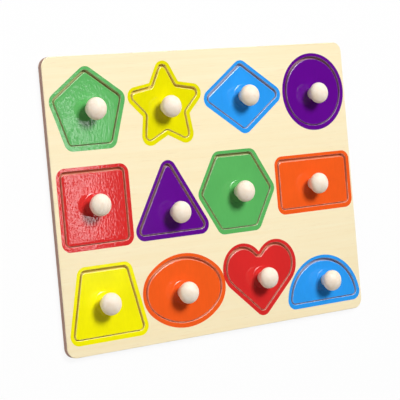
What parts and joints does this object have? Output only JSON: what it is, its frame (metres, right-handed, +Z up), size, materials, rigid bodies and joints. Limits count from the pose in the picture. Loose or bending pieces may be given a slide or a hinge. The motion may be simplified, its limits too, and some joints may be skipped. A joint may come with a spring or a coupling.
{
  "type": "peg puzzle",
  "caption": "Flat wooden board with shaped recesses, each holding a painted tile that lifts out by a turned wooden knob.",
  "frame": {"origin": "middle of the board's underside, which lies on the table", "axes": "+X along the board's width, +Y towards its top edge, +Z up out of its face"},
  "size_m": [0.285, 0.225, 0.0203],
  "materials": {
    "backing_wood": "satin",
    "face_wood": "satin",
    "knob_wood": "satin",
    "green_paint": "satin",
    "yellow_paint": "satin",
    "blue_paint": "satin",
    "purple_paint": "satin",
    "red_paint": "satin",
    "orange_paint": "satin"
  },
  "bodies": {
    "board": {"backing_panel": "backing_wood", "face_panel": "face_wood"},
    "pentagon_piece": {"pentagon_tile": "green_paint", "pentagon_knob": "knob_wood"},
    "star_piece": {"star_tile": "yellow_paint", "star_knob": "knob_wood"},
    "rhombus_piece": {"rhombus_tile": "blue_paint", "rhombus_knob": "knob_wood"},
    "circle_piece": {"circle_tile": "purple_paint", "circle_knob": "knob_wood"},
    "square_piece": {"square_tile": "red_paint", "square_knob": "knob_wood"},
    "triangle_piece": {"triangle_tile": "purple_paint", "triangle_knob": "knob_wood"},
    "hexagon_piece": {"hexagon_tile": "green_paint", "hexagon_knob": "knob_wood"},
    "rectangle_piece": {"rectangle_tile": "orange_paint", "rectangle_knob": "knob_wood"},
    "trapezoid_piece": {"trapezoid_tile": "yellow_paint", "trapezoid_knob": "knob_wood"},
    "oval_piece": {"oval_tile": "orange_paint", "oval_knob": "knob_wood"},
    "heart_piece": {"heart_tile": "red_paint", "heart_knob": "knob_wood"},
    "semicircle_piece": {"semicircle_tile": "blue_paint", "semicircle_knob": "knob_wood"}
  },
  "joints": [
    {"name": "pentagon_lift", "type": "slide", "parent": "board", "child": "pentagon_piece", "axis": [0, 0, 1], "range_m": [0, 0.03]},
    {"name": "star_lift", "type": "slide", "parent": "board", "child": "star_piece", "axis": [0, 0, 1], "range_m": [0, 0.03]},
    {"name": "rhombus_lift", "type": "slide", "parent": "board", "child": "rhombus_piece", "axis": [0, 0, 1], "range_m": [0, 0.03]},
    {"name": "circle_lift", "type": "slide", "parent": "board", "child": "circle_piece", "axis": [0, 0, 1], "range_m": [0, 0.03]},
    {"name": "square_lift", "type": "slide", "parent": "board", "child": "square_piece", "axis": [0, 0, 1], "range_m": [0, 0.03]},
    {"name": "triangle_lift", "type": "slide", "parent": "board", "child": "triangle_piece", "axis": [0, 0, 1], "range_m": [0, 0.03]},
    {"name": "hexagon_lift", "type": "slide", "parent": "board", "child": "hexagon_piece", "axis": [0, 0, 1], "range_m": [0, 0.03]},
    {"name": "rectangle_lift", "type": "slide", "parent": "board", "child": "rectangle_piece", "axis": [0, 0, 1], "range_m": [0, 0.03]},
    {"name": "trapezoid_lift", "type": "slide", "parent": "board", "child": "trapezoid_piece", "axis": [0, 0, 1], "range_m": [0, 0.03]},
    {"name": "oval_lift", "type": "slide", "parent": "board", "child": "oval_piece", "axis": [0, 0, 1], "range_m": [0, 0.03]},
    {"name": "heart_lift", "type": "slide", "parent": "board", "child": "heart_piece", "axis": [0, 0, 1], "range_m": [0, 0.03]},
    {"name": "semicircle_lift", "type": "slide", "parent": "board", "child": "semicircle_piece", "axis": [0, 0, 1], "range_m": [0, 0.03]}
  ]
}
